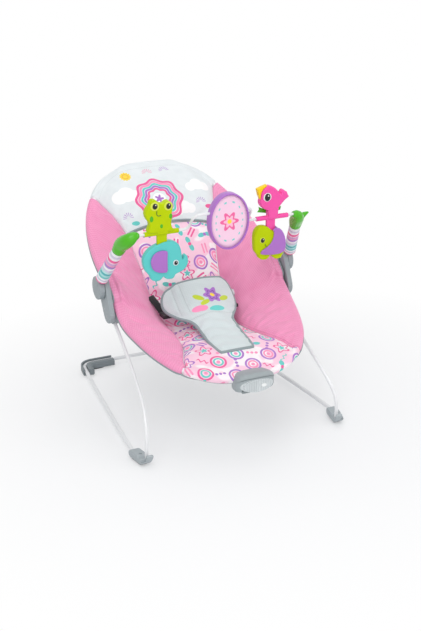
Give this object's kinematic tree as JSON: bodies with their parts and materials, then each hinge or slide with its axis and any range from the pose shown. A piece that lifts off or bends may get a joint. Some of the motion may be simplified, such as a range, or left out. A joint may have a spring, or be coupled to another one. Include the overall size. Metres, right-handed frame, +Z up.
{
  "type": "baby bouncer",
  "caption": "Sprung wire-frame baby bouncer: padded sling seat, crotch harness, vibration unit and a swinging toy bar with turning toys.",
  "frame": {"origin": "on the floor, below the middle of the footprint box", "axes": "+Z up, the baby's feet point to -Y and its head to +Y, +X to the baby's left hand"},
  "size_m": [0.4818, 0.5936, 0.5114],
  "materials": {
    "white_wire": "satin powder coat",
    "steel": "satin",
    "grey_plastic": "matte",
    "black_plastic": "satin",
    "button_white": "satin",
    "dark_rubber": "matte",
    "pink_fabric": "soft woven",
    "print_fabric": "soft woven, printed",
    "grey_fabric": "soft woven",
    "striped_fabric": "striped knit",
    "black_webbing": "woven webbing",
    "green_plastic": "gloss",
    "lime_plastic": "gloss",
    "turquoise_plastic": "gloss",
    "purple_plastic": "gloss",
    "pink_plastic": "gloss",
    "pale_pink_plastic": "gloss",
    "yellow_plastic": "gloss"
  },
  "bodies": {
    "base": {"base_wire": "white_wire", "rear_grip_left": "grey_plastic", "rear_grip_right": "grey_plastic", "rear_pad_left": "dark_rubber", "rear_pad_right": "dark_rubber", "front_foot_left": "grey_plastic", "front_foot_right": "grey_plastic", "front_pad_left": "dark_rubber", "front_pad_right": "dark_rubber"},
    "seat": {"upright_wire_left": "white_wire", "upright_wire_right": "white_wire", "hub_block_left": "grey_plastic", "hub_block_right": "grey_plastic", "hub_plate_left": "grey_plastic", "hub_plate_right": "grey_plastic", "hub_screw_left_front": "steel", "hub_screw_left_rear": "steel", "hub_screw_right_front": "steel", "hub_screw_right_rear": "steel", "upper_seat_tube": "white_wire", "lower_seat_tube": "white_wire", "upper_hem": "grey_fabric", "lower_hem": "grey_fabric", "centre_panel": "print_fabric", "head_insert": "grey_fabric", "wing_left": "pink_fabric", "wing_right": "pink_fabric", "crotch_pad": "grey_fabric", "buckle_socket_left": "black_plastic", "buckle_socket_right": "black_plastic", "harness_strap_left": "black_webbing", "harness_strap_right": "black_webbing", "vibration_housing": "grey_plastic", "vibration_lid": "grey_plastic", "battery_door": "grey_plastic", "battery": "steel", "battery_contact": "steel", "motor": "steel"},
    "toy_bar": {"arm_pivot_left": "grey_plastic", "arm_pivot_right": "grey_plastic", "arm_sleeve_left": "striped_fabric", "arm_sleeve_right": "striped_fabric", "arm_cap_left": "green_plastic", "arm_cap_right": "green_plastic", "toy_wire": "white_wire"},
    "left_toy": {"frog_toy": "lime_plastic", "elephant_toy": "turquoise_plastic", "elephant_ear": "purple_plastic"},
    "right_toy": {"bird_toy": "pink_plastic", "bird_beak": "yellow_plastic", "leaf_sprig": "green_plastic", "turtle_toy": "lime_plastic", "turtle_shell": "purple_plastic"},
    "disc": {"disc_rim": "purple_plastic", "disc_face": "pale_pink_plastic"},
    "button": {"power_button": "button_white"},
    "weight": {"eccentric_weight": "steel"},
    "buckle_left": {"buckle_tongue_left": "black_plastic"},
    "buckle_right": {"buckle_tongue_right": "black_plastic"}
  },
  "joints": [
    {"name": "bounce", "type": "hinge", "parent": "base", "child": "seat", "pos_m": [0, -0.23643, 0.0115], "axis": [1, 0, 0], "range_deg": [-3, 3], "stiffness_Nm_per_rad": 140, "springref_deg": 2.06},
    {"name": "toy_bar_swing", "type": "hinge", "parent": "seat", "child": "toy_bar", "pos_m": [0, 0.01357, 0.2945], "axis": [1, 0, 0], "range_deg": [-60, 30]},
    {"name": "left_toy_spin", "type": "hinge", "parent": "toy_bar", "child": "left_toy", "pos_m": [-0.124, -0.10054, 0.43693], "axis": [1, 0, 0], "continuous": true},
    {"name": "right_toy_spin", "type": "hinge", "parent": "toy_bar", "child": "right_toy", "pos_m": [0.124, -0.10054, 0.43693], "axis": [1, 0, 0], "continuous": true},
    {"name": "disc_spin", "type": "hinge", "parent": "toy_bar", "child": "disc", "pos_m": [0.01, -0.12899, 0.47244], "axis": [1, 0, 0], "continuous": true},
    {"name": "button_press", "type": "slide", "parent": "seat", "child": "button", "axis": [0, 1, 0], "range_m": [0, 0.0015], "stiffness_N_per_m": 300, "springref_m": -0.001},
    {"name": "weight_spin", "type": "hinge", "parent": "seat", "child": "weight", "pos_m": [0.028, -0.28143, 0.1533], "axis": [1, 0, 0], "continuous": true},
    {"name": "buckle_left_release", "type": "slide", "parent": "seat", "child": "buckle_left", "axis": [0, 1, 0], "range_m": [0, 0.0112], "deforming": ["harness_strap_left"]},
    {"name": "buckle_right_release", "type": "slide", "parent": "seat", "child": "buckle_right", "axis": [0, 1, 0], "range_m": [0, 0.0112], "deforming": ["harness_strap_right"]}
  ]
}
